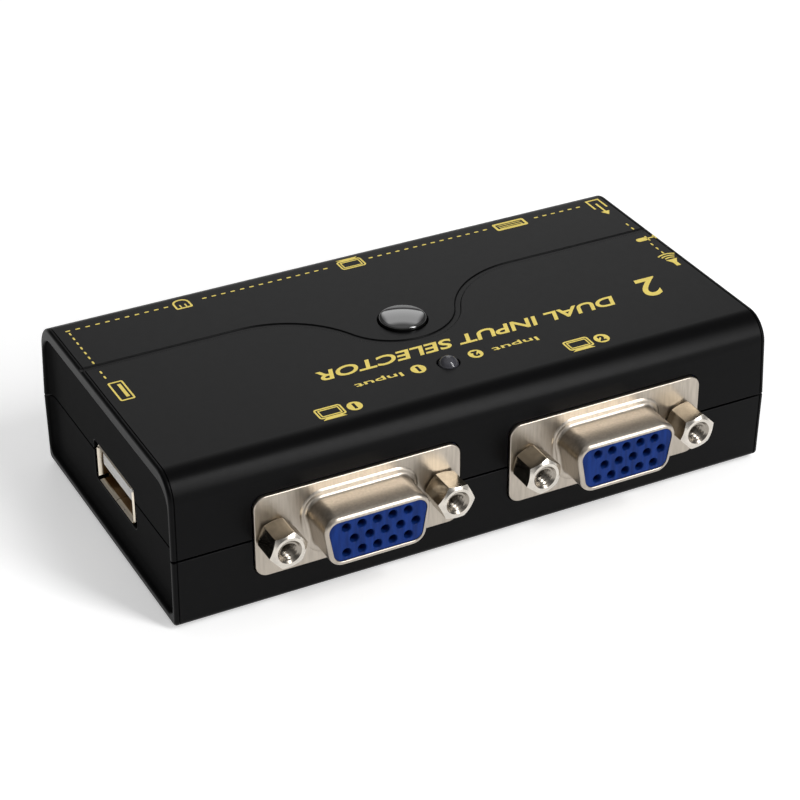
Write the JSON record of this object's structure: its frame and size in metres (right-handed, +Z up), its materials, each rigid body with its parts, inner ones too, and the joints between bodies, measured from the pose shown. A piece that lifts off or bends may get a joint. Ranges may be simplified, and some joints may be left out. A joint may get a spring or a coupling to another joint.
{
  "type": "kvm switch",
  "caption": "Small flat black box with a push button and light on top, video sockets on its front and back, USB sockets and audio jacks, that shares a screen, keyboard and mouse.",
  "frame": {"origin": "centre of the footprint, on the surface that the feet stand on", "axes": "+X along the length, towards the end with the audio jacks; +Z up; -Y towards the video inputs"},
  "size_m": [0.092, 0.061, 0.0248],
  "materials": {
    "case_black": "fine satin moulded ABS",
    "button_black": "polished black plastic",
    "lens_smoky": "clear smoky epoxy",
    "connector_nickel": "nickel-plated pressed steel",
    "connector_blue": "blue moulded PBT",
    "tongue_pale": "pale grey moulded nylon",
    "nylon_black": "black moulded nylon",
    "board_green": "glass-fibre board under green solder mask",
    "chip_epoxy": "black epoxy",
    "steel": "zinc-plated steel",
    "contact_tin": "tinned metal",
    "contact_gold": "gold-plated contact",
    "foot_rubber": "soft black rubber",
    "print_yellow": "yellow pad print"
  },
  "bodies": {
    "case": {"top_cover": "case_black", "bottom_cover": "case_black", "case_screw_1": "steel", "case_screw_2": "steel", "case_screw_3": "steel", "case_screw_4": "steel", "rubber_foot_1": "foot_rubber", "rubber_foot_2": "foot_rubber", "rubber_foot_3": "foot_rubber", "rubber_foot_4": "foot_rubber", "tact_switch_body": "nylon_black", "tact_switch_cover": "steel", "tact_switch_dome": "steel", "status_led_lens": "lens_smoky", "status_led_anode": "contact_tin", "status_led_cathode": "contact_tin", "circuit_board": "board_green", "controller_chip": "chip_epoxy", "video_switch_chip_1": "chip_epoxy", "video_switch_chip_2": "chip_epoxy", "crystal": "steel", "capacitor_1": "chip_epoxy", "capacitor_2": "chip_epoxy", "video_in_1_shell": "connector_nickel", "video_in_1_insulator": "connector_blue", "video_in_1_housing": "connector_blue", "video_in_1_jackscrew_left": "connector_nickel", "video_in_1_jackscrew_right": "connector_nickel", "video_in_2_shell": "connector_nickel", "video_in_2_insulator": "connector_blue", "video_in_2_housing": "connector_blue", "video_in_2_jackscrew_left": "connector_nickel", "video_in_2_jackscrew_right": "connector_nickel", "video_out_shell": "connector_nickel", "video_out_insulator": "connector_blue", "video_out_housing": "connector_blue", "video_out_jackscrew_left": "connector_nickel", "video_out_jackscrew_right": "connector_nickel", "usb_mouse_shell": "connector_nickel", "usb_mouse_tongue": "tongue_pale", "usb_keyboard_shell": "connector_nickel", "usb_keyboard_tongue": "tongue_pale", "usb_hub_shell": "connector_nickel", "usb_hub_tongue": "tongue_pale", "mic_jack_housing": "nylon_black", "mic_jack_sleeve": "contact_tin", "speaker_jack_housing": "nylon_black", "speaker_jack_sleeve": "contact_tin"},
    "button": {"push_button_cap": "button_black", "tact_switch_plunger": "nylon_black"}
  },
  "joints": [
    {"name": "button_press", "type": "slide", "parent": "case", "child": "button", "axis": [0, 0, -1], "range_m": [0, 0.0005], "stiffness_N_per_m": 400, "springref_m": -0.0025}
  ]
}
